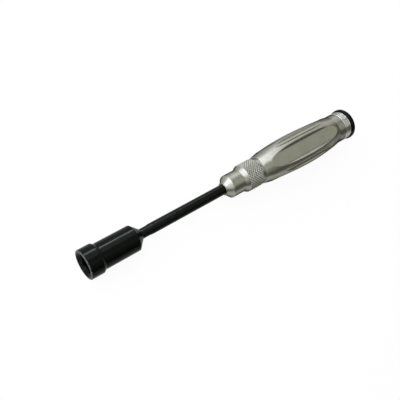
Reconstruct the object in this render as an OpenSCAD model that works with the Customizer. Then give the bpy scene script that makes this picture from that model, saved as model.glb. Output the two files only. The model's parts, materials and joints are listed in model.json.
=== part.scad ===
// Nut driver: a hexagon socket on a round shaft, a fluted turned handle and a palm cap that turns freely.
// The tool lies along +X with the middle of its socket's mouth at the origin. +Z is up, and one flute faces up.
// Lengths are in millimetres.

/* [Socket] */
// Width across the flats of the nut that the socket drives
nut_af = 10; // [8:0.5:12]
// Play between nut and socket, across the flats
nut_play = 0.1; // [0.05:0.05:0.3]
// Depth of the hexagon, from the mouth
hex_depth = 12; // [8:0.5:15]
// Width of the ledge at the bottom of the hexagon that the nut stops on
nut_ledge = 0.8; // [0.5:0.1:1.2]
// Wall over the corners of the hexagon, on the plain body
body_wall = 1.4; // [1:0.1:2.5]
// Wall over the corners of the hexagon, on the band round the mouth
band_wall = 2.4; // [1.8:0.1:3.5]
// Flat rim of the mouth, between the lead-in and the outer edge
mouth_rim = 0.9; // [0.4:0.1:1.2]
// Chamfer on the outer edge of the mouth
mouth_edge = 0.35; // [0.1:0.05:0.6]
// Length of the band round the mouth
band_l = 7.3; // [4:0.1:10]
// Length of the sloped step behind the band
step_l = 1.4; // [0.5:0.1:3]
// Length of the plain body behind the step
body_l = 20.5; // [18:0.5:30]
// Length of the conical back
back_l = 4; // [2:0.1:6]
// Wall at the small end of the back
back_wall = 0.5; // [0.3:0.1:1]
// Metal left between the stud bore and the shaft's spigot
spigot_web = 2; // [1:0.1:4]

/* [Shaft] */
// Diameter of the shaft
shaft_d = 6; // [5:0.1:7]
// Diameter of the neck and of the spigot in the socket
neck_d = 5.5; // [4.5:0.1:6]
// Bare length of the neck
neck_l = 4.5; // [2:0.1:8]
// Length of the taper from the neck to the shaft
neck_taper_l = 2.1; // [1:0.1:4]
// Bare length of the shaft between the taper and the nose
shaft_bare_l = 48.8; // [30:0.1:120]
// Length of the shaft inside the handle
shaft_seat_l = 45; // [25:1:52]
// Length of the spigot inside the socket
spigot_l = 7.5; // [5:0.1:9]
// Depth of the two flats that stop the spigot from turning
spigot_flat = 0.45; // [0.2:0.05:0.7]
// Depth of the flat under the set screw
screw_flat = 0.5; // [0.3:0.1:0.8]

/* [Nose of the handle] */
// Wall of the thin lip round the shaft
lip_wall = 0.75; // [0.5:0.05:1.2]
// Length of the lip
lip_l = 0.7; // [0.3:0.1:1.5]
// Length of the chamfer behind the lip
nose_cone_l = 2.8; // [1.5:0.1:4]
// Diameter of the nose
nose_d = 13.4; // [12:0.1:15]
// Length of the plain nose
nose_l = 8.3; // [6:0.1:14]
// Diameter at the large end of the flare
flare_d = 15.5; // [14:0.1:15.7]
// Length of the flare
flare_l = 2.4; // [1:0.1:5]

/* [Knurled finger ring] */
// Diameter over the points of the knurl
knurl_d = 16.5; // [16:0.1:18]
// Depth of the knurl
knurl_depth = 0.35; // [0.15:0.05:0.4]
// Length of the knurl
knurl_l = 9.8; // [6:0.1:16]
// Diamonds round the ring
knurl_count = 30; // [20:2:60]
// Diamonds along the ring
knurl_rows = 6; // [3:1:8]
// Diameter of the relief groove behind the knurl
groove_d = 15.2; // [14:0.1:15.6]
// Length of the relief groove
groove_l = 2; // [1:0.1:4]

/* [Grip] */
// Diameter where the barrel of the grip starts
grip_front_d = 16.4; // [15.8:0.1:18]
// Diameter over the ribs at the thickest place
grip_crest_d = 23.7; // [21:0.1:26]
// Diameter of the waist behind the grip
waist_d = 17.7; // [16.8:0.1:18.4]
// Length of the barrel
grip_l = 61.2; // [55:0.1:80]
// Length of the waist
waist_l = 5; // [3:0.1:10]
// Flutes round the grip
flute_count = 4; // [3:1:4]
// Depth of a flute below the thickest place of the ribs
flute_depth = 2.5; // [1.8:0.05:2.6]
// Width of a flute's flat floor
flute_floor_w = 6; // [4:0.1:6.4]
// Radius of a flute's sides
flute_side_r = 3.4; // [2.8:0.1:5]
// Depth of the narrow groove along the middle of each rib, at the thickest place
rib_groove_depth = 1.35; // [0.8:0.05:1.5]
// Diameter of the cutter that made the rib grooves
rib_groove_cut_d = 5.4; // [3:0.1:5.8]

/* [Tail collar] */
// Length of the collar that shows
collar_l = 4.6; // [3.5:0.1:8]
// Fine grooves turned round the collar
collar_ring_count = 3; // [1:1:4]
// Width of a groove
collar_ring_w = 0.4; // [0.2:0.05:0.6]
// Depth of a groove
collar_ring_depth = 0.2; // [0.1:0.05:0.4]
// Diameter of the spigot that screws into the handle
collar_spigot_d = 13; // [12:0.1:14]
// Length of the spigot
collar_spigot_l = 6; // [5:0.1:9]

/* [Cap bearing] */
// Outer diameter of the bearing
bearing_od = 10; // [9.5:0.1:10.5]
// Bore of the bearing, and diameter of the cap screw
bearing_bore = 3; // [2.5:0.1:3.2]
// Width of the bearing
bearing_w = 4; // [3.2:0.1:4.5]
// Diameter of a ball
ball_d = 1.6; // [1.4:0.05:1.75]
// Number of balls
ball_count = 7; // [5:1:7]
// Thickness of a shield
shield_t = 0.25; // [0.15:0.05:0.35]
// Thickness of the circlip
clip_t = 0.7; // [0.5:0.05:1]
// Width of the circlip's ring
clip_w = 1.1; // [0.9:0.05:1.2]

/* [End cap] */
// Diameter of the cap
cap_d = 19.2; // [17.5:0.1:24]
// Thickness of the cap
cap_l = 2.9; // [2.5:0.1:8]
// Rounding of the cap's front edge
cap_front_round = 0.8; // [0.3:0.1:1.1]
// Rounding of the cap's back edge
cap_back_round = 1.2; // [0.3:0.1:1.4]
// Diameter of the screw's countersunk head
cap_head_d = 5.5; // [4.6:0.1:6]
// Diameter of the spacer and of the washer on the bearing's inner ring
cap_spacer_d = 4.8; // [4.4:0.1:5]
// Thickness of the washer
cap_washer_t = 0.5; // [0.3:0.05:1]
// Width across the flats of the cap nut
cap_nut_af = 5.5; // [5:0.1:6]
// Thickness of the cap nut
cap_nut_h = 2.4; // [1.6:0.1:2.6]

/* [Set screw] */
// Diameter of the set screw
set_screw_d = 4; // [3:0.5:5]
// Length of the set screw
set_screw_l = 4; // [3:0.1:4.1]

/* [Fits] */
// Gap of a fixed fit, such as the shaft in the handle
seat_gap = 0.02; // [0.01:0.01:0.04]
// Gap between the cap and the collar
cap_gap = 0.3; // [0.2:0.05:0.6]
// Gap between a ball and its races or its cage
ball_play = 0.05; // [0.03:0.01:0.08]

/* [Hidden] */
$fn = 96;
// Cones that the barrel's long arc is turned from
barrel_steps = 24;
// Sides of a hexagon
hex_sides = 6;
// How far a cut runs past the solid that it cuts
overrun = 1;

// Socket, from the mouth backwards
hex_af = nut_af + nut_play;
hex_corner_r = hex_af / 2 / cos(180 / hex_sides);
body_r = hex_corner_r + body_wall;
band_r = hex_corner_r + band_wall;
lead_in_r = band_r - mouth_edge - mouth_rim;
lead_in_l = lead_in_r - hex_af / 2;
stud_r = hex_af / 2 - nut_ledge;
neck_r = neck_d / 2;
back_r = neck_r + back_wall;
z_step = band_l;
z_body = z_step + step_l;
z_back = z_body + body_l;
z_socket_end = z_back + back_l;
z_spigot = z_socket_end - spigot_l;
z_stud_end = z_spigot - spigot_web;

// Shaft and nose
shaft_r = shaft_d / 2;
z_taper = z_socket_end + neck_l;
z_shaft = z_taper + neck_taper_l;
z_nose = z_shaft + shaft_bare_l;
z_shaft_end = z_nose + shaft_seat_l;
// Room between the end of the shaft and the bottom of its bore
shaft_end_room = 0.5;
lip_r = shaft_r + lip_wall;
nose_r = nose_d / 2;
flare_r = flare_d / 2;
z_lip = z_nose + lip_l;
z_nose_face = z_lip + nose_cone_l;
z_flare = z_nose_face + nose_l;
z_knurl = z_flare + flare_l;
z_groove = z_knurl + knurl_l;
z_grip = z_groove + groove_l;

// Knurl: points and valleys alternate on a grid of half diamonds
knurl_crest_r = knurl_d / 2;
knurl_root_r = knurl_crest_r - knurl_depth;
groove_r = groove_d / 2;
// The knurl starts this far inside the flare
knurl_lap = 0.1;
knurl_steps_round = 2 * knurl_count;
knurl_steps_along = 2 * knurl_rows;

// Barrel: one arc from the front of the grip over the crest to the waist
crest_r = grip_crest_d / 2;
waist_r = waist_d / 2;
front_rise = crest_r - grip_front_d / 2;
back_fall = crest_r - waist_r;
reach = grip_l ^ 2 - back_fall * (front_rise - back_fall);
crest_l = reach / (grip_l + sqrt(grip_l ^ 2 - (1 - back_fall / front_rise) * reach));
barrel_r = (crest_l ^ 2 + front_rise ^ 2) / (2 * front_rise);
z_waist = z_grip + grip_l;
z_handle_end = z_waist + waist_l;
flute_floor_r = crest_r - flute_depth;
flute_side = flute_floor_w / 2;
rib_groove_r = rib_groove_cut_d / 2;
rib_groove_axis_r = crest_r - rib_groove_depth + rib_groove_r;
// Turn from a flute to the rib beside it
rib_turn = 180 / flute_count;
// The barrel's seam lies on the plain flank between them, this share of the way to the rib
seam_share = 0.69;

// Collar, with the bearing inside and the circlip behind it
z_collar_front = z_handle_end - collar_spigot_l;
z_collar_end = z_handle_end + collar_l;
collar_spigot_r = collar_spigot_d / 2;
// Metal of the collar behind the circlip
clip_land = 0.6;
// Depth of the circlip's groove
clip_seat = 0.3;
// Opening of the circlip's ring, in degrees
clip_opening = 50;
z_clip_end = z_collar_end - clip_land;
z_clip = z_clip_end - clip_t;
z_bearing_end = z_clip - seat_gap;
z_bearing = z_bearing_end - bearing_w;
// Depth of the handle's bore in front of the collar
tail_room = 1.5;

// Bearing
bearing_r = bearing_od / 2;
bearing_bore_r = bearing_bore / 2;
pitch_r = (bearing_r + bearing_bore_r) / 2;
ball_r = ball_d / 2;
race_r = ball_r + ball_play;
// How much of a ball stands out of its races, as a share of its radius
ball_show_share = 0.78;
inner_land_r = pitch_r - ball_r * ball_show_share;
outer_land_r = pitch_r + ball_r * ball_show_share;
z_balls = z_bearing + bearing_w / 2;
// Width of a shield's seat in the outer ring, and how deep the shield is set
shield_seat_w = 0.3;
shield_set = 0.1;
shield_r = outer_land_r + shield_seat_w;
// Gap between the cage, the shields and the rings
cage_gap = 0.25;
// Width of the cage, as a share of a ball's diameter
cage_w_share = 1.5;
cage_w = ball_d * cage_w_share;

// Cap and its screw
cap_r = cap_d / 2;
z_cap = z_collar_end + cap_gap;
z_cap_end = z_cap + cap_l;
cap_screw_r = bearing_bore_r - seat_gap;
cap_head_r = cap_head_d / 2;
// How far the head is sunk below the cap's face, and the play round screw and head
head_sink = 0.15;
screw_play = 0.1;
z_head = z_cap_end - head_sink;
head_l = cap_head_r - cap_screw_r;
z_washer = z_bearing - cap_washer_t;
z_nut = z_washer - cap_nut_h;
// Length of the screw's tip in front of the nut
screw_tip = 0.6;
z_screw_tip = z_nut - screw_tip;
cap_spacer_r = cap_spacer_d / 2;
// Hexagon recess of the cap screw
cap_key_af = 2;
cap_key_l = 0.9;

// Set screw, on the underside of the nose
set_screw_r = set_screw_d / 2;
z_set_screw = (z_nose_face + z_flare) / 2;
set_screw_seat = shaft_r - screw_flat;
// Flat of the shaft on each side of the screw
flat_margin = 1.5;
set_key_af = 2;
set_key_l = 1.8;
// Cone at the point of the set screw
set_point_l = 0.6;

steel_black = "#191b1c";
anodised_grey = "#8d8b82";
bare_metal = "#c8c9c8";
cap_black = "#131313";
bearing_steel = "#b9bdc2";
cage_brass = "#b9974e";
zinc_grey = "#9ea3a6";

// Turns a piece that was built up along +Z so that it lies along +X. Its own +X side then faces down.
module lay_along_x() {
    rotate([0, 90, 0]) children();
}

module tube(outer_r, inner_r, from, to) {
    translate([0, 0, from])
        difference() {
            cylinder(r = outer_r, h = to - from);
            translate([0, 0, -overrun])
                cylinder(r = inner_r, h = to - from + 2 * overrun);
        }
}

module hex_prism(af, from, to) {
    translate([0, 0, from])
        cylinder(r = af / 2 / cos(180 / hex_sides), h = to - from, $fn = hex_sides);
}

// Round bar with two flats
module double_d(r, half_width, from, to) {
    intersection() {
        translate([0, 0, from])
            cylinder(r = r, h = to - from);
        translate([-half_width, -r, from])
            cube([2 * half_width, 2 * r, to - from]);
    }
}

module socket() {
    color(steel_black) lay_along_x() difference() {
        rotate_extrude()
            polygon([[0, 0], [band_r - mouth_edge, 0], [band_r, mouth_edge], [band_r, z_step], [body_r, z_body],
                [body_r, z_back], [back_r, z_socket_end], [0, z_socket_end]]);
        hex_prism(hex_af, -overrun, hex_depth);
        rotate_extrude()
            polygon([[0, -overrun], [lead_in_r + overrun, -overrun], [hex_af / 2, lead_in_l], [0, lead_in_l]]);
        cylinder(r = stud_r, h = z_stud_end);
        double_d(neck_r + seat_gap, neck_r - spigot_flat + seat_gap, z_spigot, z_socket_end + overrun);
    }
}

module drive_shaft() {
    color(steel_black) lay_along_x() difference() {
        rotate_extrude()
            polygon([[0, z_spigot], [neck_r, z_spigot], [neck_r, z_taper], [shaft_r, z_shaft],
                [shaft_r, z_shaft_end], [0, z_shaft_end]]);
        for (turn = [0, 180])
            rotate([0, 0, turn])
                translate([neck_r - spigot_flat, -neck_r, z_spigot - overrun])
                    cube([neck_r, neck_d, spigot_l + overrun]);
        translate([set_screw_seat, -shaft_r, z_set_screw - set_screw_r - flat_margin])
            cube([shaft_r, shaft_d, set_screw_d + 2 * flat_margin]);
    }
}

module shaft_set_screw() {
    color(steel_black) lay_along_x()
        translate([set_screw_seat, 0, z_set_screw])
            rotate([0, 90, 0])
                difference() {
                    rotate_extrude()
                        polygon([[0, 0], [set_screw_r - seat_gap - set_point_l, 0],
                            [set_screw_r - seat_gap, set_point_l], [set_screw_r - seat_gap, set_screw_l],
                            [0, set_screw_l]]);
                    hex_prism(set_key_af, set_screw_l - set_key_l, set_screw_l + overrun);
                }
}

function knurl_point(row, step) =
    let (at_end = row == 0 || row == knurl_steps_along,
        point = !at_end && (row + step) % 2 == 1,
        r = point ? knurl_crest_r : knurl_root_r,
        a = 360 * step / knurl_steps_round)
    [r * cos(a), r * sin(a), z_knurl - knurl_lap + (knurl_l + knurl_lap) * row / knurl_steps_along];

function knurl_index(row, step) = row * knurl_steps_round + step % knurl_steps_round;

// The two triangles of one cell of the grid, parted along the valley that crosses it
function knurl_cell(row, step) =
    let (a = knurl_index(row, step), b = knurl_index(row, step + 1),
        c = knurl_index(row + 1, step + 1), d = knurl_index(row + 1, step))
    (row + step) % 2 == 0 ? [[a, c, b], [a, d, c]] : [[a, d, b], [b, d, c]];

module knurl() {
    points = [for (row = [0:knurl_steps_along]) for (step = [0:knurl_steps_round - 1]) knurl_point(row, step)];
    cells = [for (row = [0:knurl_steps_along - 1]) for (step = [0:knurl_steps_round - 1])
        each knurl_cell(row, step)];
    front = [for (step = [0:knurl_steps_round - 1]) knurl_index(0, step)];
    back = [for (step = [knurl_steps_round - 1:-1:0]) knurl_index(knurl_steps_along, step)];
    polyhedron(points = points, faces = concat(cells, [front, back]));
}

// Radius of the barrel, a distance behind its front
function barrel_radius(behind) = crest_r - barrel_r + sqrt(barrel_r ^ 2 - (behind - crest_l) ^ 2);

// Half outline of the turned handle
module handle_outline() {
    barrel = [for (i = [0:barrel_steps]) let (behind = grip_l * i / barrel_steps)
        [barrel_radius(behind), z_grip + behind]];
    polygon(concat([[0, z_nose], [lip_r, z_nose], [lip_r, z_lip], [nose_r, z_nose_face], [nose_r, z_flare],
        [flare_r, z_knurl], [groove_r, z_knurl], [groove_r, z_grip]], barrel,
        [[waist_r, z_handle_end], [0, z_handle_end]]));
}

// Section of a flute: a flat floor that rises in a round side at both edges
module flute_section() {
    translate([flute_floor_r, -flute_side])
        square([2 * flute_side_r, flute_floor_w]);
    for (y = [-flute_side, flute_side])
        translate([flute_floor_r + flute_side_r, y])
            circle(r = flute_side_r);
}

module handle_body() {
    color(anodised_grey) lay_along_x() difference() {
        union() {
            rotate([0, 0, rib_turn * seam_share])
                rotate_extrude()
                    handle_outline();
            knurl();
        }
        for (i = [0:flute_count - 1]) {
            rotate([0, 0, 2 * rib_turn * i])
                translate([0, 0, z_grip])
                    linear_extrude(height = grip_l)
                        flute_section();
            rotate([0, 0, rib_turn * (2 * i + 1)])
                translate([rib_groove_axis_r, 0, z_grip])
                    cylinder(r = rib_groove_r, h = grip_l);
        }
        translate([0, 0, z_nose - overrun])
            cylinder(r = shaft_r + seat_gap, h = shaft_seat_l + shaft_end_room + overrun);
        translate([0, 0, z_set_screw])
            rotate([0, 90, 0])
                cylinder(r = set_screw_r, h = nose_r + overrun);
        translate([0, 0, z_collar_front - tail_room])
            cylinder(r = collar_spigot_r + seat_gap, h = collar_spigot_l + tail_room + overrun);
    }
}

module tail_collar() {
    color(bare_metal) lay_along_x() difference() {
        union() {
            translate([0, 0, z_collar_front])
                cylinder(r = collar_spigot_r, h = collar_spigot_l + collar_l / 2);
            translate([0, 0, z_handle_end])
                cylinder(r = waist_r, h = collar_l);
        }
        translate([0, 0, z_collar_front - overrun])
            cylinder(r = shield_r, h = collar_spigot_l + collar_l + overrun);
        translate([0, 0, z_bearing])
            cylinder(r = bearing_r + seat_gap, h = z_collar_end - z_bearing + overrun);
        translate([0, 0, z_clip])
            cylinder(r = bearing_r + clip_seat, h = clip_t);
        for (i = [1:collar_ring_count])
            tube(waist_r + overrun, waist_r - collar_ring_depth,
                z_handle_end + collar_l * i / (collar_ring_count + 1) - collar_ring_w / 2,
                z_handle_end + collar_l * i / (collar_ring_count + 1) + collar_ring_w / 2);
    }
}

// Groove of the races, a ring round the axis
module race() {
    rotate_extrude()
        translate([pitch_r, z_balls])
            circle(r = race_r);
}

module bearing_outer_ring() {
    color(bearing_steel) lay_along_x() difference() {
        tube(bearing_r, outer_land_r, z_bearing, z_bearing_end);
        race();
        for (z = [z_bearing - overrun, z_bearing_end - shield_set - shield_t])
            translate([0, 0, z])
                cylinder(r = shield_r, h = shield_set + shield_t + overrun);
    }
}

module bearing_inner_ring() {
    color(bearing_steel) lay_along_x() difference() {
        tube(inner_land_r, bearing_bore_r, z_bearing, z_bearing_end);
        race();
    }
}

module bearing_balls() {
    color(bearing_steel) lay_along_x()
        for (i = [0:ball_count - 1])
            rotate([0, 0, 360 * i / ball_count])
                translate([pitch_r, 0, z_balls])
                    sphere(r = ball_r);
}

module bearing_cage() {
    color(cage_brass) lay_along_x() difference() {
        rotate([0, 0, 180 / ball_count])
            tube(outer_land_r - cage_gap, inner_land_r + cage_gap, z_balls - cage_w / 2, z_balls + cage_w / 2);
        for (i = [0:ball_count - 1])
            rotate([0, 90, 360 * i / ball_count])
                translate([-z_balls, 0, inner_land_r])
                    cylinder(r = race_r, h = bearing_r - inner_land_r);
    }
}

module bearing_shields() {
    color(bearing_steel) lay_along_x()
        for (z = [z_bearing + shield_set, z_bearing_end - shield_set - shield_t])
            tube(shield_r - seat_gap, inner_land_r + cage_gap, z, z + shield_t);
}

module bearing_circlip() {
    color(zinc_grey) lay_along_x()
        translate([0, 0, z_clip])
            rotate([0, 0, clip_opening / 2])
                rotate_extrude(angle = 360 - clip_opening)
                    translate([bearing_r + clip_seat - seat_gap - clip_w, 0])
                        square([clip_w, clip_t]);
}

module end_cap_outline() {
    difference() {
        union() {
            translate([0, z_cap])
                square([cap_r - cap_front_round, cap_front_round]);
            translate([0, z_cap + cap_front_round])
                square([cap_r, cap_l - cap_front_round - cap_back_round]);
            translate([0, z_cap_end - cap_back_round])
                square([cap_r - cap_back_round, cap_back_round]);
            translate([cap_r - cap_front_round, z_cap + cap_front_round])
                circle(r = cap_front_round);
            translate([cap_r - cap_back_round, z_cap_end - cap_back_round])
                circle(r = cap_back_round);
        }
        polygon([[0, z_cap - overrun], [cap_screw_r + screw_play, z_cap - overrun],
            [cap_screw_r + screw_play, z_head - head_l], [cap_head_r + screw_play, z_head],
            [cap_head_r + screw_play, z_cap_end + overrun], [0, z_cap_end + overrun]]);
    }
}

module end_cap() {
    color(cap_black) lay_along_x()
        rotate_extrude()
            end_cap_outline();
}

module cap_screw() {
    color(zinc_grey) lay_along_x() difference() {
        rotate_extrude()
            polygon([[0, z_screw_tip], [cap_screw_r, z_screw_tip], [cap_screw_r, z_head - head_l],
                [cap_head_r, z_head], [0, z_head]]);
        hex_prism(cap_key_af, z_head - cap_key_l, z_head + overrun);
    }
}

module cap_spacer() {
    color(bare_metal) lay_along_x()
        tube(cap_spacer_r, bearing_bore_r, z_bearing_end, z_cap);
}

module cap_washer() {
    color(zinc_grey) lay_along_x()
        tube(cap_spacer_r, bearing_bore_r, z_washer, z_bearing);
}

module cap_nut() {
    color(zinc_grey) lay_along_x() difference() {
        hex_prism(cap_nut_af, z_nut, z_washer);
        translate([0, 0, z_nut - overrun])
            cylinder(r = bearing_bore_r, h = cap_nut_h + 2 * overrun);
    }
}

socket();
drive_shaft();
shaft_set_screw();
handle_body();
tail_collar();
bearing_outer_ring();
bearing_inner_ring();
bearing_balls();
bearing_cage();
bearing_shields();
bearing_circlip();
end_cap();
cap_screw();
cap_spacer();
cap_washer();
cap_nut();
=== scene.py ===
# %% [markdown]
# # A nut driver, dressed for its portrait
# The tool is already built as solids, with every size and joint in place. This notebook gives it the surfaces
# that a camera sees: broken edges, a sharp knurl, anodised and blackened metal, and the light of a small studio.
# Each step says what the piece is on the real tool, how it could be made, and why it is made this way.

import json
import math

import bmesh
import bpy
from mathutils import Matrix, Vector


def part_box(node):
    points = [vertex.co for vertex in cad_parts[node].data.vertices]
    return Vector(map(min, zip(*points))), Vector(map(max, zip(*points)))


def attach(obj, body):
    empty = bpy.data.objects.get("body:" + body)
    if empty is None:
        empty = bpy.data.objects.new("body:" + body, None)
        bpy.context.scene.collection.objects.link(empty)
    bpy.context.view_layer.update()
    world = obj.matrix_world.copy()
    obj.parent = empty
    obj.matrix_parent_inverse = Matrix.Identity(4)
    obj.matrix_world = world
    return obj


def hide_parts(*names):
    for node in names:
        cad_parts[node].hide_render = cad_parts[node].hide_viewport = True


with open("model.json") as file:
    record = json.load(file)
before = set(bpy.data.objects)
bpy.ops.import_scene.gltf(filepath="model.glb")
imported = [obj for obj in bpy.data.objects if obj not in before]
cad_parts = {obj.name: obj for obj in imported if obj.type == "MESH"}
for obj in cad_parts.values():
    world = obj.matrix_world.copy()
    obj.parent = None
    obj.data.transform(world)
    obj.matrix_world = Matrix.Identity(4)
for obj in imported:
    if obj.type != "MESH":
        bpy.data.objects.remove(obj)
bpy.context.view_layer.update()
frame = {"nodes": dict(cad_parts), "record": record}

# %% [markdown]
# ## Where the pieces lie
# The tool lies along +X with the mouth of its socket at the origin, and one flute of the grip faces up, +Z.
# The frame's boxes say where each turned solid starts and ends and how far it reaches from the axis. Sizes that
# a box can't tell, such as the length of a step, are repeated in millimetres beside the piece that needs them.

# %% Places along the axis
MM = 0.001


def reach(node):
    """Start, end and radius of a turned solid, in millimetres."""
    low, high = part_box(node)
    return low.x / MM, high.x / MM, high.y / MM


MOUTH, SOCKET_END, BAND_R = reach("socket")
SHAFT_START, SHAFT_END, SHAFT_R = reach("drive_shaft")
NOSE, HANDLE_END, RIB_REACH = reach("handle_body")
COLLAR_START, COLLAR_END, WAIST_R = reach("tail_collar")
CAP_START, CAP_END, CAP_R = reach("end_cap")
SCREW_TIP, HEAD_FACE, HEAD_R = reach("cap_screw")
print(f"tool {CAP_END - MOUTH:.1f} mm long, handle from {NOSE:.1f} to {HANDLE_END:.1f}")

# %% [markdown]
# ## A lathe
# Nearly every piece of this tool came off a lathe, so the first helper is one. A few corners make half an
# outline. Bevelling its vertices gives each edge the small rounding that a real edge has, and spinning it once
# round the axis makes the solid. A modifier could do the bevel later, but here each corner can have its own.

# %% Lathe
ROUND_STEPS = 4
WELD = 0.0004 * MM


def lathe(corners, steps, ring=False):
    """Spins (place, radius, rounding) corners round the axis. A ring's outline is closed in itself."""
    bm = bmesh.new()
    verts = [bm.verts.new((place * MM, 0, radius * MM)) for place, radius, rounding in corners]
    for one, other in zip(verts, verts[1:]):
        bm.edges.new((one, other))
    if ring:
        bm.edges.new((verts[-1], verts[0]))
    for size in sorted({rounding for place, radius, rounding in corners if rounding}):
        chosen = [vert for vert, corner in zip(verts, corners) if corner[2] == size]
        bmesh.ops.bevel(bm, geom=chosen, offset=size * MM, offset_type="OFFSET", segments=ROUND_STEPS,
                        profile=0.5, affect="VERTICES", material=-1)
    bmesh.ops.spin(bm, geom=bm.verts[:] + bm.edges[:], cent=(0, 0, 0), axis=(1, 0, 0), angle=math.tau,
                   steps=steps, use_merge=True)
    bmesh.ops.remove_doubles(bm, verts=bm.verts[:], dist=WELD)
    bmesh.ops.recalc_face_normals(bm, faces=bm.faces[:])
    return bm


def turn_of(vert):
    """How far round the axis a vertex lies, from straight up, in radians."""
    return math.atan2(-vert.co.y, vert.co.z)


def radius_of(vert):
    return math.hypot(vert.co.y, vert.co.z) / MM


def put(vert, radius, turn):
    vert.co.y = -math.sin(turn) * radius * MM
    vert.co.z = math.cos(turn) * radius * MM


# %% [markdown]
# ## Handing a piece over
# A finished mesh sits at the origin with its place in its vertices, as the solids do, and rides on a body so
# that it moves with it. It stands for its solid, which is then hidden. Weighted normals keep the long turned
# faces straight in the light, so that only the rounded edges bend it.

# %% Hand over a mesh
SHARP_ANGLE = math.radians(40)


def hand_over(bm, name, node, body, slot):
    mesh = bpy.data.meshes.new(name)
    bm.to_mesh(mesh)
    bm.free()
    mesh.set_sharp_from_angle(angle=SHARP_ANGLE)
    mesh.materials.append(FINISHES[slot])
    piece = bpy.data.objects.new(name, mesh)
    bpy.context.scene.collection.objects.link(piece)
    weighted = piece.modifiers.new("weighted normals", "WEIGHTED_NORMAL")
    weighted.keep_sharp = True
    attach(piece, body)
    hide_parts(node)
    print(f"{name}: {len(mesh.polygons)} faces")
    return piece


# %% [markdown]
# ## Shader maths in plain Python
# The finishes need a little arithmetic: how far a point is from the axis, or a mask along the tool. This class
# wraps one output of a node, and Python's own operators on it add Math nodes. Every other kind of node comes
# from its one method, which first sets the node up and then fills or links its inputs.

# %% A socket to reckon with
# A Mix node has sockets for numbers, vectors and colours. These are its colours: two inputs and the output.
MIX_FIRST = 6
MIX_SECOND = 7
MIX_COLOUR = 2


class Tap:
    def __init__(self, tree, socket=None):
        self.tree = tree
        self.socket = socket

    def node(self, kind, settings=None, inputs=None, output=0):
        made = self.tree.nodes.new(kind)
        for name, value in (settings or {}).items():
            setattr(made, name, value)
        for name, value in (inputs or {}).items():
            if isinstance(value, Tap):
                self.tree.links.new(value.socket, made.inputs[name])
            else:
                made.inputs[name].default_value = value
        return Tap(self.tree, made.outputs[output])

    def maths(self, operation, first, second=0.0):
        return self.node("ShaderNodeMath", {"operation": operation}, {0: first, 1: second})

    def __add__(self, other):
        return self.maths("ADD", self, other)

    __radd__ = __add__

    def __sub__(self, other):
        return self.maths("SUBTRACT", self, other)

    def __rsub__(self, other):
        return self.maths("SUBTRACT", other, self)

    def __mul__(self, other):
        return self.maths("MULTIPLY", self, other)

    __rmul__ = __mul__

    def __pow__(self, other):
        return self.maths("POWER", self, other)

    def between(self, low, high):
        """0 below low, 1 above high, and a smooth step between."""
        settings = {"interpolation_type": "SMOOTHSTEP"}
        return self.node("ShaderNodeMapRange", settings, {"Value": self, "From Min": low, "From Max": high})

    def tint(self, first, second):
        """A colour that goes from the first to the second as this value goes from 0 to 1."""
        ends = [colour if isinstance(colour, Tap) else (*colour, 1.0) for colour in (first, second)]
        inputs = {"Factor": self, MIX_FIRST: ends[0], MIX_SECOND: ends[1]}
        return self.node("ShaderNodeMix", {"data_type": "RGBA"}, inputs, output=MIX_COLOUR)


def blank_finish(name):
    """A material with only its Principled shader, a tap on its tree, and the point in millimetres."""
    material = bpy.data.materials.new(name)
    material.use_nodes = True
    tree = material.node_tree
    shader = tree.nodes["Principled BSDF"]
    tap = Tap(tree)
    place = tap.node("ShaderNodeTexCoord", output="Object")
    scaled = tap.node("ShaderNodeVectorMath", {"operation": "SCALE"}, {0: place, "Scale": 1 / MM})
    return material, shader, tap, scaled


def along_side_up(tap, point):
    """The three coordinates of a point in millimetres. The first is its distance from the mouth."""
    split = tap.node("ShaderNodeSeparateXYZ", inputs={0: point}).socket.node
    return [Tap(tap.tree, output) for output in split.outputs]


def from_axis(side, height):
    return (side * side + height * height) ** 0.5


def noise(tap, point, scale):
    """Noise round 0.5, with this many swells to the millimetre."""
    return tap.node("ShaderNodeTexNoise", {"noise_dimensions": "3D"},
                    {"Vector": point, "Scale": scale, "Detail": 2.0})


def turning_marks(tap, along, scale):
    """Fine rings round the axis, as a cutter leaves them: noise that changes along the tool only."""
    return tap.node("ShaderNodeTexNoise", {"noise_dimensions": "1D"},
                    {"W": along, "Scale": scale, "Detail": 3.0})


def link(tap, value, shader, name):
    tap.tree.links.new(value.socket, shader.inputs[name])


def emboss(tap, height, shader, distance_mm):
    """Bends the surface's light by a height, in a Bump node that feeds Normal."""
    settings = {"Height": height, "Distance": distance_mm * MM, "Strength": 1.0}
    link(tap, tap.node("ShaderNodeBump", inputs=settings), shader, "Normal")


# %% [markdown]
# ## Finishes
# The handle is aluminium, blasted to a fine grain and anodised a warm grey: a metal with a soft, broad
# highlight. A painted plastic would give the same colour but not the way it brightens towards the light, so the
# shader is a metal. Light that meets a dyed layer at a low angle crosses more of it, so such a surface darkens
# towards its rims. A dark Specular Tint does that, and it is the same all over, so it is set on the shader's
# own socket. The knurl scatters light, so it is rougher, and a mask along the tool says where it is.

# %% Anodised handle
LIP_L = 0.7
NOSE_CONE_L = 2.8
NOSE_L = 8.3
FLARE_L = 2.4
KNURL_L = 9.8
KNURL_START = NOSE + LIP_L + NOSE_CONE_L + NOSE_L + FLARE_L
KNURL_END = KNURL_START + KNURL_L
MASK_FADE = 0.2
DYED_RIM = (0.0, 0.0, 0.0, 1.0)


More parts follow.
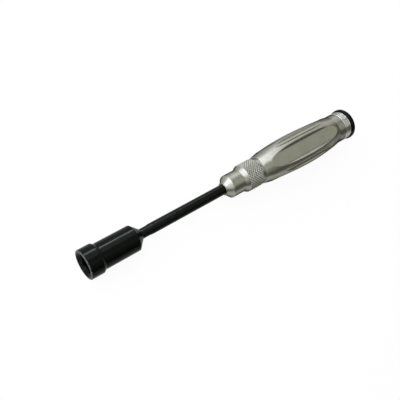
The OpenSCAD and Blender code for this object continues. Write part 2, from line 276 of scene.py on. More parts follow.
def anodised_grey():
    material, shader, tap, point = blank_finish("anodised_grey")
    along = along_side_up(tap, point)[0]
    cloud = noise(tap, point, 0.12).between(0.3, 0.7)
    link(tap, cloud.tint((0.315, 0.315, 0.275), (0.345, 0.345, 0.305)), shader, "Base Color")
    grain = noise(tap, point, 9.0)
    past_start = along.between(KNURL_START, KNURL_START + MASK_FADE)
    past_end = along.between(KNURL_END - MASK_FADE, KNURL_END)
    knurled = past_start * (1 - past_end)
    link(tap, grain * 0.06 + knurled * 0.28 + 0.27, shader, "Roughness")
    shader.inputs["Metallic"].default_value = 1.0
    shader.inputs["Specular Tint"].default_value = DYED_RIM
    emboss(tap, grain * 0.6 + turning_marks(tap, along, 6.0) * 0.4, shader, 0.002)
    return material


# %% [markdown]
# The socket and the shaft are steel with a black oxide: nearly black, but smooth enough for one thin bright line
# along them. The layer hides the metal, so the shader isn't a metal, except in the scuffs where nuts have worn
# the rim of the mouth. The bar looks a little lighter than the socket, so its oxide has its own tint.

# %% Black oxide on steel
BARE_STEEL = (0.32, 0.33, 0.32)


def blackened_steel():
    material, shader, tap, point = blank_finish("blackened_steel")
    along, side, height = along_side_up(tap, point)
    out = from_axis(side, height)
    cloud = noise(tap, point, 0.35).between(0.35, 0.65)
    worn = (1 - along.between(0.05, 0.5)) * out.between(BAND_R - 0.6, BAND_R - 0.25)
    scuffed = worn * noise(tap, point, 1.6).between(0.35, 0.6) * 0.5
    on_socket = cloud.tint((0.0013, 0.0019, 0.0014), (0.002, 0.0028, 0.0021))
    on_bar = cloud.tint((0.0030, 0.0036, 0.0029), (0.0046, 0.0052, 0.0044))
    oxide = along.between(SOCKET_END, SOCKET_END + MASK_FADE).tint(on_socket, on_bar)
    link(tap, scuffed.tint(oxide, BARE_STEEL), shader, "Base Color")
    link(tap, scuffed * 0.9, shader, "Metallic")
    link(tap, cloud * 0.03 + 0.14, shader, "Roughness")
    shader.inputs["Specular IOR Level"].default_value = 0.065
    emboss(tap, turning_marks(tap, along, 9.0), shader, 0.0006)
    return material


# %% [markdown]
# The collar is bare aluminium from the lathe, bright with fine marks. Its ring grooves have painted shade: their
# colour is darker, as little light comes back out of them. The cap is gloss black. Bearing, screws and cage need
# only a clean metal that isn't one flat colour, so one function makes all three of those finishes.

# %% Bare collar, black cap and small hardware
BARE_RIM = (0.2, 0.2, 0.2, 1.0)
GROOVE_PAINTED_SHADE = (0.2, 0.2, 0.19)


def bare_aluminium():
    material, shader, tap, point = blank_finish("bare_aluminium")
    along, side, height = along_side_up(tap, point)
    out = from_axis(side, height)
    marks = turning_marks(tap, along, 3.0)
    bright = marks.tint((0.60, 0.60, 0.59), (0.73, 0.73, 0.72))
    # Painted shade: the colour is darker in the ring grooves, where little light comes back out.
    groove_painted_shade = 1 - out.between(WAIST_R - 0.12, WAIST_R - 0.02)
    link(tap, groove_painted_shade.tint(bright, GROOVE_PAINTED_SHADE), shader, "Base Color")
    link(tap, marks * 0.06 + 0.16, shader, "Roughness")
    shader.inputs["Specular Tint"].default_value = BARE_RIM
    shader.inputs["Metallic"].default_value = 1.0
    emboss(tap, marks, shader, 0.001)
    return material


def anodised_black():
    material, shader, tap, point = blank_finish("anodised_black")
    grain = noise(tap, point, 7.0)
    link(tap, grain.tint((0.0012, 0.0012, 0.0012), (0.0020, 0.0020, 0.0020)), shader, "Base Color")
    link(tap, grain * 0.05 + 0.17, shader, "Roughness")
    shader.inputs["Specular IOR Level"].default_value = 0.08
    emboss(tap, grain, shader, 0.0006)
    return material


def small_hardware(name, dark, light, roughness):
    material, shader, tap, point = blank_finish(name)
    cloud = noise(tap, point, 1.5)
    link(tap, cloud.tint(dark, light), shader, "Base Color")
    link(tap, cloud * 0.1 + roughness, shader, "Roughness")
    shader.inputs["Metallic"].default_value = 1.0
    return material


FINISHES = {
    "anodised_grey": anodised_grey(),
    "blackened_steel": blackened_steel(),
    "bare_aluminium": bare_aluminium(),
    "anodised_black": anodised_black(),
    "bearing_steel": small_hardware("bearing_steel", (0.55, 0.57, 0.59), (0.66, 0.68, 0.70), 0.18),
    "zinc_steel": small_hardware("zinc_steel", (0.46, 0.48, 0.49), (0.56, 0.58, 0.59), 0.3),
    "cage_brass": small_hardware("cage_brass", (0.60, 0.44, 0.18), (0.70, 0.53, 0.24), 0.28),
}
print("finishes:", ", ".join(sorted(FINISHES)))

# %% [markdown]
# ## The socket
# A stepped steel cup: a thick band round the mouth, a plain body and a cone down to the shaft. Inside are a
# hexagon for the nut and a round bore for the bolt's end. A Boolean could cut the hexagon, but it leaves long
# thin faces at the mouth. Here the bore is spun with the rest, and its rings are then pushed out to the
# hexagon, or to the lead-in cone where that is wider, which draws the scallops at the mouth by itself.

# %% Socket
SOCKET_STEPS = 144
HEX_AF = 10.1
HEX_DEPTH = 12.0
MOUTH_EDGE = 0.35
MOUTH_RIM = 0.9
BAND_L = 7.3
STEP_L = 1.4
BACK_L = 4.0
BODY_R = BAND_R - 1.0
BACK_R = 3.25
STUD_R = 4.25
SPIGOT_L = 7.5
SPIGOT_WEB = 2.0
SPIGOT_FLAT = 0.45
NECK_R = 2.75
FIT = 0.02
SIXTH = math.radians(60)


def hexagon_radius(turn, across_flats):
    """Distance from the axis to a hexagon's side. Its corners point up and down."""
    from_flat = (turn % SIXTH) - SIXTH / 2
    return across_flats / 2 / math.cos(from_flat)


def flatten(bm, start, end, half_width):
    """Planes two flats, above and below the axis, on a stretch of a round bar or bore."""
    for vert in bm.verts:
        if start <= vert.co.x / MM <= end and radius_of(vert) < BACK_R:
            vert.co.z = max(-half_width * MM, min(half_width * MM, vert.co.z))


def make_socket():
    lead_in_r = BAND_R - MOUTH_EDGE - MOUTH_RIM
    lead_in_l = lead_in_r - HEX_AF / 2
    spigot_start = SOCKET_END - SPIGOT_L
    lead_in_rings = 12
    cone = [(lead_in_l * i / lead_in_rings, HEX_AF / 2, 0) for i in range(lead_in_rings, 0, -1)]
    bm = lathe([
        (spigot_start - SPIGOT_WEB, 0, 0),
        (spigot_start - SPIGOT_WEB, STUD_R, 0.3),
        (HEX_DEPTH, STUD_R, 0),
        (HEX_DEPTH, HEX_AF / 2, 0),
        *cone,
        (MOUTH, lead_in_r, 0.08),
        (MOUTH, BAND_R - MOUTH_EDGE, 0.12),
        (MOUTH + MOUTH_EDGE, BAND_R, 0.12),
        (MOUTH + BAND_L, BAND_R, 0.25),
        (MOUTH + BAND_L + STEP_L, BODY_R, 0.4),
        (SOCKET_END - BACK_L, BODY_R, 0.4),
        (SOCKET_END, BACK_R, 0.15),
        (SOCKET_END, NECK_R + FIT, 0),
        (spigot_start, NECK_R + FIT, 0),
        (spigot_start, 0, 0),
    ], SOCKET_STEPS)
    for vert in bm.verts:
        place = vert.co.x / MM
        if 0 < place <= HEX_DEPTH and abs(radius_of(vert) - HEX_AF / 2) < FIT:
            turn = turn_of(vert)
            put(vert, max(hexagon_radius(turn, HEX_AF), lead_in_r - place), turn)
    flatten(bm, spigot_start, SOCKET_END - FIT, NECK_R - SPIGOT_FLAT + FIT)
    return bm


socket = hand_over(make_socket(), "socket_cup", "socket", "driver", "blackened_steel")

# %% [markdown]
# ## The shaft
# A round steel bar. Its end goes into the socket as a spigot with two flats, so that it can't turn there, and a
# slightly thinner neck shows behind the socket. Inside the handle it has a flat for the set screw. The flats
# are made by pressing the vertices beyond a plane back onto it, which keeps the bar's own rings.

# %% Shaft
SHAFT_STEPS = 96
NECK_L = 4.5
NECK_TAPER_L = 2.1
SCREW_FLAT = 0.5
SCREW_FLAT_L = 7.0
SET_SCREW_PLACE = NOSE + LIP_L + NOSE_CONE_L + NOSE_L / 2


def make_shaft():
    taper_start = SOCKET_END + NECK_L
    flat_start = SET_SCREW_PLACE - SCREW_FLAT_L / 2
    flat_end = SET_SCREW_PLACE + SCREW_FLAT_L / 2
    bm = lathe([
        (SHAFT_START, 0, 0),
        (SHAFT_START, NECK_R, 0),
        (SOCKET_END - FIT, NECK_R, 0),
        (SOCKET_END, NECK_R, 0),
        (taper_start, NECK_R, 0.6),
        (taper_start + NECK_TAPER_L, SHAFT_R, 0.6),
        (flat_start - FIT, SHAFT_R, 0),
        (flat_start, SHAFT_R, 0),
        (flat_end, SHAFT_R, 0),
        (flat_end + FIT, SHAFT_R, 0),
        (SHAFT_END, SHAFT_R, 0.3),
        (SHAFT_END, 0, 0),
    ], SHAFT_STEPS)
    flatten(bm, SHAFT_START, SOCKET_END - FIT, NECK_R - SPIGOT_FLAT)
    for vert in bm.verts:
        if flat_start <= vert.co.x / MM <= flat_end:
            vert.co.z = max((SCREW_FLAT - SHAFT_R) * MM, vert.co.z)
    return bm


shaft = hand_over(make_shaft(), "shaft_bar", "drive_shaft", "driver", "blackened_steel")

# %% [markdown]
# ## The handle
# One bar of aluminium, turned and then milled. From the front: a lip round the shaft, a chamfered nose, a
# flare, a knurled ring for the fingertips, a relief groove, a barrel with four long flutes and a narrow groove
# along each rib between them, and a waist. All of it is one spin of one outline. The columns of that spin are
# then shifted so that one of them runs exactly along each cut's edge, and every point is set to the barrel or to
# a cutter, whichever is nearest to the axis. Beyond the flutes' ends the columns spread evenly again, little by
# little, because a sudden jump would crease the waist. That gives clean edges without a Boolean's slivers.

# %% Outline of the handle
HANDLE_STEPS = 240
LIP_R = SHAFT_R + 0.75
NOSE_R = 6.7
FLARE_R = 7.75
FLARE_GAP = 0.15
KNURL_CREST_R = 8.25
KNURL_DEPTH = 0.35
KNURL_ROWS = 6
KNURL_COLUMNS = 30
GROOVE_R = 7.6
GROOVE_L = 2.0
GROOVE_LEAD = 0.1
GRIP_L = 61.2
GRIP_FRONT_R = 8.2
CREST_R = 11.85
COLLAR_SPIGOT_R = 6.5
TAIL_BORE_R = COLLAR_SPIGOT_R + FIT
TAIL_ROOM = 1.5
SHAFT_ROOM = 0.5
GRIP_START = KNURL_END + GROOVE_L
GRIP_END = GRIP_START + GRIP_L

front_rise = CREST_R - GRIP_FRONT_R
back_fall = CREST_R - WAIST_R
span = GRIP_L ** 2 - back_fall * (front_rise - back_fall)
CREST_L = span / (GRIP_L + math.sqrt(GRIP_L ** 2 - (1 - back_fall / front_rise) * span))
BARREL_R = (CREST_L ** 2 + front_rise ** 2) / (2 * front_rise)


def barrel_radius(place):
    """The barrel's outline is one long arc, thickest a little in front of its middle."""
    return CREST_R - BARREL_R + math.sqrt(BARREL_R ** 2 - (place - GRIP_START - CREST_L) ** 2)


print(f"barrel: arc of {BARREL_R:.0f} mm, thickest {CREST_L:.1f} mm behind its front")

# %% [markdown]
# A flute is the mark of a cutter with a flat end and rounded sides that ran parallel to the axis, so it has a
# flat floor between two round flanks. A smaller round cutter left the narrow groove along each rib. Where the
# barrel is thicker than a cutter's nearest distance the cut opens, widest at the crest, and it closes to a point
# at both ends. The rings of the outline are placed where a cut's edge has turned by equal steps, so that they
# crowd together at its pointed ends, where the edge curves most.

# %% Flutes
FLUTES = 4
FLUTE = (CREST_R - 2.5, 3.0, 3.4)
RIB_GROOVE = (CREST_R - 1.35, 0.0, 2.7)
EDGE_BLEND = 0.10
LEAST_EDGE = math.radians(1.5)
EDGE_STEP = math.radians(1.5)
EVEN_RINGS = 6
EVEN_STEP = 0.6
EVEN_AGAIN = GRIP_END + EVEN_RINGS * EVEN_STEP
HALF_PITCH = math.pi / FLUTES
HALF_COLUMNS = HANDLE_STEPS // FLUTES // 2
FLOOR_COLUMNS = 14
FLANK_COLUMNS = 7
PLAIN_RINGS = 20
RINGS_APART = 0.25


def cut_radius(cutter, turn):
    """Distance from the tool's axis to a cut's surface, this far round from the cut's middle."""
    floor_r, flat, side_r = cutter
    turn = abs(turn)
    if floor_r * math.tan(turn) <= flat:
        return floor_r / math.cos(turn)
    height = floor_r + side_r
    beyond = side_r ** 2 - (flat * math.cos(turn) - height * math.sin(turn)) ** 2
    if beyond <= 0:
        return math.inf
    return flat * math.sin(turn) + height * math.cos(turn) - math.sqrt(beyond)


def cut_edge(cutter, radius):
    """How far round from its middle a cut's edge lies on a barrel of this radius."""
    floor_r, flat, side_r = cutter
    if radius <= floor_r:
        return LEAST_EDGE
    if radius <= math.hypot(floor_r, flat):
        return max(LEAST_EDGE, math.acos(floor_r / radius))
    height = floor_r + side_r
    away = math.hypot(height, flat)
    cosine = (radius ** 2 + away ** 2 - side_r ** 2) / (2 * radius * away)
    return max(LEAST_EDGE, math.atan2(flat, height) + math.acos(cosine))


def barrel_place(radius, side):
    """The place on the barrel that has this radius, in front of its crest (-1) or behind it (1)."""
    return GRIP_START + CREST_L + side * math.sqrt(BARREL_R ** 2 - (radius - CREST_R + BARREL_R) ** 2)


FLUTE_FRONT = barrel_place(FLUTE[0], -1)
FLUTE_BACK = barrel_place(FLUTE[0], 1)


def barrel_rings():
    """Places of the barrel's rings, from front to back."""
    rings = {GRIP_START + GRIP_L * i / PLAIN_RINGS for i in range(1, PLAIN_RINGS)}
    for cutter in (FLUTE, RIB_GROOVE):
        for i in range(int(cut_edge(cutter, CREST_R) / EDGE_STEP)):
            for side in (-1, 1):
                rings.add(barrel_place(cut_radius(cutter, EDGE_STEP * i), side))
    for i in range(1, EVEN_RINGS):
        rings.add(FLUTE_FRONT + (GRIP_START - FLUTE_FRONT) * i / EVEN_RINGS)
        rings.add(FLUTE_BACK + (GRIP_END - FLUTE_BACK) * i / EVEN_RINGS)
    spaced = []
    for place in sorted(rings):
        inside = GRIP_START + RINGS_APART < place < GRIP_END - RINGS_APART
        if inside and (not spaced or place - spaced[-1] > RINGS_APART):
            spaced.append(place)
    return spaced


def blended(first, second):
    """The smaller of two radii, with the edge between them rounded."""
    if math.isinf(second):
        return first
    near = max(EDGE_BLEND - abs(first - second), 0) / EDGE_BLEND
    return min(first, second) - near * near * EDGE_BLEND / 4


def column_turn(step, radius):
    """How far round from a flute's middle a column lies, so that columns run along the edges of both cuts."""
    edge = cut_edge(FLUTE, radius)
    groove = HALF_PITCH - cut_edge(RIB_GROOVE, radius)
    if step <= FLOOR_COLUMNS:
        return edge * math.sin(math.pi / 2 * step / FLOOR_COLUMNS)
    step -= FLOOR_COLUMNS
    if step <= FLANK_COLUMNS:
        return edge + (groove - edge) * (1 - math.cos(math.pi * step / FLANK_COLUMNS)) / 2
    share = (step - FLANK_COLUMNS) / (HALF_COLUMNS - FLOOR_COLUMNS - FLANK_COLUMNS)
    return groove + (HALF_PITCH - groove) * (1 - math.cos(math.pi / 2 * share))


def evenness(place):
    """0 along the flutes, and 1 where the columns are evenly spread again, beyond either end of them."""
    front = (FLUTE_FRONT - place) / (FLUTE_FRONT - GRIP_START)
    back = (place - FLUTE_BACK) / (EVEN_AGAIN - FLUTE_BACK)
    share = min(max(front, back, 0), 1)
    return share * share * (3 - 2 * share)


def mill_flutes(bm):
    for vert in bm.verts:
        place = vert.co.x / MM
        radius = radius_of(vert)
        if not GRIP_START < place < EVEN_AGAIN or radius < GROOVE_R:
            continue
        column = round(turn_of(vert) / math.tau * HANDLE_STEPS)
        sector = round(column / (2 * HALF_COLUMNS))
        step = column - sector * 2 * HALF_COLUMNS
        turn = column_turn(abs(step), radius)
        turn += (abs(step) * math.tau / HANDLE_STEPS - turn) * evenness(place)
        fluted = blended(radius, cut_radius(FLUTE, turn))
        milled = blended(fluted, cut_radius(RIB_GROOVE, HALF_PITCH - turn))
        put(vert, milled, sector * 2 * HALF_PITCH + math.copysign(turn, step))


# %% [markdown]
# The knurl is rolled into the ring: two sets of slanting grooves leave small pyramids between them. Bump alone
# would vanish at the ring's outline, so the pyramids are real. Eight columns and eight rows make one diamond, and
# each face that a groove crosses is split along it, so that the groove's bottom is a clean line.

# %% Knurl
DIAMOND_STEPS = HANDLE_STEPS // KNURL_COLUMNS
KNURL_FULLNESS = 1.35


def groove_distance(lines):
    """0 on a groove, 1 midway between two. Grooves lie at the whole numbers."""
    return 1 - abs(2 * (lines % 1) - 1)


def knurl_height(column, row):
    """Height of the pyramids as a share of their depth. The outermost rows stay at the bottom."""
    if row in (0, KNURL_ROWS * DIAMOND_STEPS):
        return 0
    rising = groove_distance((column + row) / DIAMOND_STEPS)
    falling = groove_distance((column - row) / DIAMOND_STEPS)
    return min(1, KNURL_FULLNESS * min(rising, falling))


def roll_knurl(bm):
    ring_step = KNURL_L / (KNURL_ROWS * DIAMOND_STEPS)
    root_r = KNURL_CREST_R - KNURL_DEPTH
    slack = ring_step / DIAMOND_STEPS
    ring = [vert for vert in bm.verts
            if KNURL_START - slack < vert.co.x / MM < KNURL_END + slack and abs(radius_of(vert) - root_r) < slack]
    heights = {}
    for vert in ring:
        turn = turn_of(vert)
        column = round(turn / math.tau * HANDLE_STEPS)
        row = round((vert.co.x / MM - KNURL_START) / ring_step)
        heights[vert] = knurl_height(column, row)
        put(vert, root_r + KNURL_DEPTH * heights[vert], turn)
    quads = {face for vert in ring for face in vert.link_faces if all(v in heights for v in face.verts)}
    for face in quads:
        face.smooth = False
        a, b, c, d = face.verts
        low_pair = (a, c) if heights[a] + heights[c] < heights[b] + heights[d] else (b, d)
        half = bmesh.utils.face_split(face, *low_pair)[0]
        half.smooth = False
    return len(quads)


# %% [markdown]
# The outline runs from the bottom of the shaft's bore, out at the nose, over everything that shows, and into
# the bore at the tail that takes the collar. The small hole for the set screw, under the nose, is the one cut
# that no spin can give, so it is made with a Boolean on the plain nose, where the faces are simple.

# %% Turn, mill and knurl the handle
SET_HOLE_R = 2.0
DRILL_STEPS = 64
DRILL_PAST = 1.0


def handle_outline():
    root_r = KNURL_CREST_R - KNURL_DEPTH
    rows = KNURL_ROWS * DIAMOND_STEPS
    knurl = [(KNURL_START + KNURL_L * i / rows, root_r, 0) for i in range(rows + 1)]
    barrel = [(place, barrel_radius(place), 0) for place in barrel_rings()]
    waist = [(GRIP_END + EVEN_STEP * i, WAIST_R, 0) for i in range(1, EVEN_RINGS + 1)]
    return [
        (SHAFT_END + SHAFT_ROOM, 0, 0),
        (SHAFT_END + SHAFT_ROOM, SHAFT_R + FIT, 0),
        (NOSE, SHAFT_R + FIT, 0.1),
        (NOSE, LIP_R, 0.12),
        (NOSE + LIP_L, LIP_R, 0.15),
        (NOSE + LIP_L + NOSE_CONE_L, NOSE_R, 0.35),
        (NOSE + LIP_L + NOSE_CONE_L + NOSE_L, NOSE_R, 0.35),
        (KNURL_START - FLARE_GAP, FLARE_R, 0.1),
        *knurl,
        (KNURL_END + GROOVE_LEAD, GROOVE_R, 0.08),
        (GRIP_START, GROOVE_R, 0.15),
        (GRIP_START, GRIP_FRONT_R, 0.2),
        *barrel,
        (GRIP_END, WAIST_R, 2.4),
        *waist,
        (HANDLE_END, WAIST_R, 0.15),
        (HANDLE_END, TAIL_BORE_R, 0),
        (COLLAR_START - TAIL_ROOM, TAIL_BORE_R, 0),
        (COLLAR_START - TAIL_ROOM, 0, 0),
    ]


def drill(piece, place, radius, depth_from, depth_to):
    """Bores a round hole from below with a Boolean, and makes the result the piece's own mesh."""
    cutter_bm = bmesh.new()
    middle = -(depth_from + depth_to) / 2
    matrix = Matrix.Translation((place * MM, 0, middle * MM))
    bmesh.ops.create_cone(cutter_bm, cap_ends=True, segments=DRILL_STEPS, radius1=radius * MM,
                          radius2=radius * MM, depth=(depth_to - depth_from) * MM, matrix=matrix)
    cutter_mesh = bpy.data.meshes.new("drill")
    cutter_bm.to_mesh(cutter_mesh)
    cutter_bm.free()
    cutter = bpy.data.objects.new("drill", cutter_mesh)
    bpy.context.scene.collection.objects.link(cutter)
    hole = piece.modifiers.new("hole", "BOOLEAN")
    hole.object = cutter
    hole.solver = "EXACT"
    weighted = piece.modifiers["weighted normals"]
    weighted.show_viewport = False
    view = bpy.context.evaluated_depsgraph_get()
    drilled = bpy.data.meshes.new_from_object(piece.evaluated_get(view))
    weighted.show_viewport = True
    piece.modifiers.remove(hole)
    old_mesh = piece.data
    piece.data = drilled
    bpy.data.meshes.remove(old_mesh)
    bpy.data.objects.remove(cutter)


handle_bm = lathe(handle_outline(), HANDLE_STEPS)
mill_flutes(handle_bm)
print("knurl faces split:", roll_knurl(handle_bm))
handle = hand_over(handle_bm, "handle_bar", "handle_body", "driver", "anodised_grey")
drill(handle, SET_SCREW_PLACE, SET_HOLE_R, SHAFT_R - SCREW_FLAT, NOSE_R + DRILL_PAST)
print("handle after drilling:", len(handle.data.polygons), "faces")

# %% [markdown]
# ## The tail
# Behind the waist sits a collar of bare metal with fine turned grooves. It holds the bearing that the black cap
# turns on. Both are rings, so their outlines close in themselves.

# %% Collar
TAIL_STEPS = 144
COLLAR_GROOVES = 3
COLLAR_GROOVE_W = 0.4
COLLAR_GROOVE_DEPTH = 0.2
FRONT_BORE_R = 4.174
SEAT_R = 5.02
CLIP_R = 5.3
CLIP_LAND = 0.6
CLIP_T = 0.7
BEARING_W = 4.0


def make_collar():
    shown_l = COLLAR_END - HANDLE_END
    clip_end = COLLAR_END - CLIP_LAND
    clip_start = clip_end - CLIP_T
    seat_start = clip_start - FIT - BEARING_W
    grooves = []
    for i in range(1, COLLAR_GROOVES + 1):
        middle = HANDLE_END + shown_l * i / (COLLAR_GROOVES + 1)
        for side, depth in ((-1, 0), (-1, 1), (1, 1), (1, 0)):
            corner_place = middle + side * COLLAR_GROOVE_W / 2
            grooves.append((corner_place, WAIST_R - depth * COLLAR_GROOVE_DEPTH, 0.06))
    return lathe([
        (COLLAR_START, FRONT_BORE_R, 0.1),
        (COLLAR_START, COLLAR_SPIGOT_R, 0.3),
        (HANDLE_END, COLLAR_SPIGOT_R, 0),
        (HANDLE_END, WAIST_R, 0.15),
        *grooves,
        (COLLAR_END, WAIST_R, 0.25),
        (COLLAR_END, SEAT_R, 0.1),
        (clip_end, SEAT_R, 0),
        (clip_end, CLIP_R, 0),
        (clip_start, CLIP_R, 0),
        (clip_start, SEAT_R, 0),
        (seat_start, SEAT_R, 0),
        (seat_start, FRONT_BORE_R, 0),
    ], TAIL_STEPS, ring=True)


hand_over(make_collar(), "tail_ring", "tail_collar", "driver", "bare_aluminium")

# %% [markdown]
# The cap is a thick black disc with a rounded rim, held by one countersunk screw. The screw's hexagon is made as
# the socket's is: a round bore is spun with the rest, and its rings are pushed out to the hexagon.

# %% Cap and its screw
CAP_FRONT_ROUND = 0.8
CAP_BACK_ROUND = 1.2
SCREW_R = 1.48
SCREW_PLAY = 0.1
KEY_AF = 2.0
KEY_L = 0.9
SCREW_STEPS = 72


def make_cap():
    cone_start = HEAD_FACE - (HEAD_R - SCREW_R)
    return lathe([
        (CAP_START, SCREW_R + SCREW_PLAY, 0),
        (CAP_START, CAP_R, CAP_FRONT_ROUND),
        (CAP_END, CAP_R, CAP_BACK_ROUND),
        (CAP_END, HEAD_R + SCREW_PLAY, 0.06),
        (HEAD_FACE, HEAD_R + SCREW_PLAY, 0),
        (cone_start, SCREW_R + SCREW_PLAY, 0),
    ], TAIL_STEPS, ring=True)


def make_cap_screw():
    cone_start = HEAD_FACE - (HEAD_R - SCREW_R)
    bm = lathe([
        (SCREW_TIP, 0, 0),
        (SCREW_TIP, SCREW_R, 0.25),
        (cone_start, SCREW_R, 0),
        (HEAD_FACE, HEAD_R, 0.08),
        (HEAD_FACE, KEY_AF / 2, 0),
        (HEAD_FACE - KEY_L, KEY_AF / 2, 0),
        (HEAD_FACE - KEY_L, 0, 0),
    ], SCREW_STEPS)
    for vert in bm.verts:
        if abs(radius_of(vert) - KEY_AF / 2) < FIT:
            turn = turn_of(vert)
            put(vert, hexagon_radius(turn, KEY_AF), turn)
    return bm


hand_over(make_cap(), "palm_cap", "end_cap", "cap", "anodised_black")
hand_over(make_cap_screw(), "palm_cap_screw", "cap_screw", "cap", "zinc_steel")

# %% [markdown]
# ## What stays as it is
# The bearing, its circlip, the spacer, washer, nut and set screw have the right shapes already, and most of
# them are out of sight. They keep their solids and get the finish that the record names for them.

# %% Finish the solids that stay
slots = {entry["node"]: entry["material_slot"] for entry in frame["record"]["subparts"]}
kept = [name for name, node in frame["nodes"].items() if not node.hide_render]
for name in kept:
    mesh = frame["nodes"][name].data
    mesh.materials.clear()
    mesh.materials.append(FINISHES[slots[name]])
print("kept solids:", ", ".join(sorted(kept)))

# %% [markdown]
# ## The studio
# The tool lies on a white sweep, on its grip and the band of its socket, which tips the floor a little. The
# floor's material asks what kind of ray has come. To the camera and in the metal alike it is paper white, with a
# small share of lit paper that keeps a faint shadow. Its edge turns up in a low rim, so that a low view ends in
# white too. For bounced light its colour is painted darker on the near side, a painted shade, so that the round
# shapes turn away from the light.

# %% Floor
FLOOR_SIZE = 6.0
RIM_HEIGHT = 0.5
WHITE_SHARE = 0.94
PAPER = (0.9, 0.9, 0.9)
NEAR_BOUNCE_PAINTED_SHADE = (0.18, 0.18, 0.17)
FAR_BOUNCE = (0.6, 0.6, 0.59)
BOUNCE_REACH = 70
rib_low = Vector(((GRIP_START + CREST_L) * MM, 0, -RIB_REACH * MM))
band_low = Vector(((MOUTH + BAND_L / 2) * MM, 0, -BAND_R * MM))
slope = math.atan2(band_low.z - rib_low.z, rib_low.x - band_low.x)
middle = (rib_low + band_low) / 2


def floor_finish():
    material, shader, tap, point = blank_finish("white_sweep")
    rays = tap.node("ShaderNodeLightPath").socket.node.outputs
    seen = Tap(tap.tree, rays["Is Camera Ray"])
    mirrored = Tap(tap.tree, rays["Is Glossy Ray"]) + Tap(tap.tree, rays["Is Transmission Ray"])
    side = along_side_up(tap, point)[1]
    # Painted shade: the floor's colour for bounced light is darker on the near side.
    bounce_with_painted_shade = side.between(0, BOUNCE_REACH).tint(NEAR_BOUNCE_PAINTED_SHADE, FAR_BOUNCE)
    link(tap, seen.tint(bounce_with_painted_shade, PAPER), shader, "Base Color")
    shader.inputs["Roughness"].default_value = 0.8
    white = tap.node("ShaderNodeEmission", inputs={"Color": (1.0, 1.0, 1.0, 1.0), "Strength": 1.0})
    lit = Tap(tap.tree, shader.outputs[0])
    mixed = tap.node("ShaderNodeMixShader", inputs={0: (seen + mirrored) * WHITE_SHARE, 1: lit, 2: white})
    tap.tree.links.new(mixed.socket, tap.tree.nodes["Material Output"].inputs["Surface"])
    return material


floor_bm = bmesh.new()
place_floor = Matrix.Translation(middle) @ Matrix.Rotation(slope, 4, "Y")
bmesh.ops.create_grid(floor_bm, x_segments=1, y_segments=1, size=FLOOR_SIZE / 2, matrix=place_floor)
rim = bmesh.ops.extrude_edge_only(floor_bm, edges=floor_bm.edges[:])
rim_verts = [item for item in rim["geom"] if isinstance(item, bmesh.types.BMVert)]
bmesh.ops.translate(floor_bm, verts=rim_verts, vec=(0, 0, RIM_HEIGHT))
floor_mesh = bpy.data.meshes.new("sweep")
floor_bm.to_mesh(floor_mesh)
floor_bm.free()
floor_mesh.materials.append(floor_finish())
floor = bpy.data.objects.new("sweep", floor_mesh)
bpy.context.scene.collection.objects.link(floor)
print(f"floor tipped by {math.degrees(slope):.2f} degrees")

# %% [markdown]
# ## Light
# A large soft box on the far side works like a window and gives the bright stripe along the grip. A box in front
# lights the nose, weaker ones above fill the shadows, and each has its own faint tint. On black steel a box shows
# only as a thin line, so two small strips are linked to the socket and the shaft and light nothing else.

# %% Lights
COOL = (0.91, 0.94, 1.0)
PLAIN = (1.0, 1.0, 1.0)
WARM = (1.0, 1.0, 0.92)
SKY_COLOUR = (1.0, 0.98, 0.82, 1.0)
SKY_STRENGTH = 0.15
TOOL_MIDDLE = (CAP_END / 2 * MM, 0, 0)


def soft_box(name, place, width, height, power, colour):
    """A box that looks at the middle of the tool, with its place and sizes in metres and its power in watts."""
    lamp = bpy.data.lights.new(name, "AREA")
    lamp.color = colour
    lamp.shape = "RECTANGLE"
    lamp.size = width
    lamp.size_y = height
    lamp.energy = power
    box = bpy.data.objects.new(name, lamp)
    box.location = place
    box.rotation_euler = (Vector(TOOL_MIDDLE) - Vector(place)).to_track_quat("-Z", "Y").to_euler()
    bpy.context.scene.collection.objects.link(box)
    return box


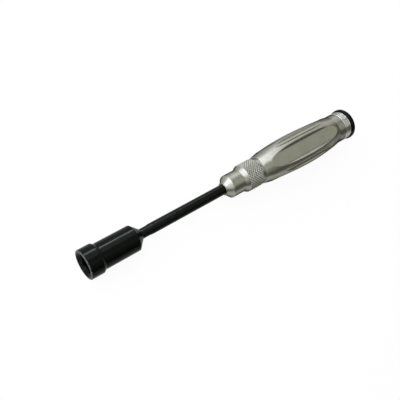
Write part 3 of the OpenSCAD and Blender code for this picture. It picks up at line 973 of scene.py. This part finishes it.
soft_box("window", (-0.135, 0.512, 0.502), 1.22, 1.0, 10.6, COOL)
soft_box("front", (-0.44, 0.20, 0.18), 1.15, 0.52, 3.3, COOL)
soft_box("overhead", (0.60, -0.04, 0.80), 0.7, 0.9, 1.17, WARM)
soft_box("far_side", (0.58, 0.60, 0.22), 0.85, 0.6, 1.3, PLAIN)
soft_box("near_side", (0.10, -0.35, 0.60), 0.45, 0.5, 0.28, WARM)
soft_box("ceiling", (-0.1, -0.15, 0.8), 0.5, 0.5, 0.59, WARM)
soft_box("glint", (0.36, 0.50, 0.20), 0.3, 0.1, 0.11, COOL)
strip = soft_box("strip", (0.175, 0.45, 0.183), 0.11, 0.09, 0.62, COOL)
shaft_strip = soft_box("shaft_strip", (0.30, 0.45, 0.183), 0.13, 0.06, 0.2, COOL)
black_pieces = bpy.data.collections.new("black_pieces")
for piece in (socket, shaft):
    black_pieces.objects.link(piece)
for box in (strip, shaft_strip):
    box.light_linking.receiver_collection = black_pieces

world = bpy.data.worlds.new("studio")
world.use_nodes = True
sky = world.node_tree.nodes["Background"]
sky.inputs["Color"].default_value = SKY_COLOUR
sky.inputs["Strength"].default_value = SKY_STRENGTH
bpy.context.scene.world = world
bpy.context.scene.view_settings.view_transform = "Standard"
print("soft boxes:", ", ".join(lamp.name for lamp in bpy.data.lights))

# %% [markdown]
# ## The camera
# The photograph looks down on the tool from in front of its mouth. A camera's matrix is three directions and a
# place: to the right, up and back, written here from the direction it looks in and the direction that is up in
# the picture.

# %% Camera
LENS = 54.0
SENSOR = 36.0
CAMERA_PLACE = Vector((-0.0760, 0.0211, 0.2881))
CAMERA_FORWARD = Vector((0.4585, -0.0622, -0.8865)).normalized()
CAMERA_UP = Vector((0.4246, 0.8916, 0.1570))

lens = bpy.data.cameras.new("portrait")
lens.lens = LENS
lens.sensor_width = SENSOR
lens.sensor_fit = "HORIZONTAL"
lens.clip_start = 0.01
camera = bpy.data.objects.new("portrait", lens)
right = CAMERA_FORWARD.cross(CAMERA_UP).normalized()
up = right.cross(CAMERA_FORWARD)
turned = Matrix((right, up, -CAMERA_FORWARD)).transposed().to_4x4()
camera.matrix_world = Matrix.Translation(CAMERA_PLACE) @ turned
bpy.context.scene.collection.objects.link(camera)
bpy.context.scene.camera = camera
print(f"camera {CAMERA_PLACE.length:.2f} m from the mouth, with a {LENS:.0f} mm lens")

# %% [markdown]
# ## Finish
# The view layer is brought up to date, so that every piece stands where it was put. The dressed tool
# has to stay inside the box of its solids.

# %% Finish
bpy.context.view_layer.update()
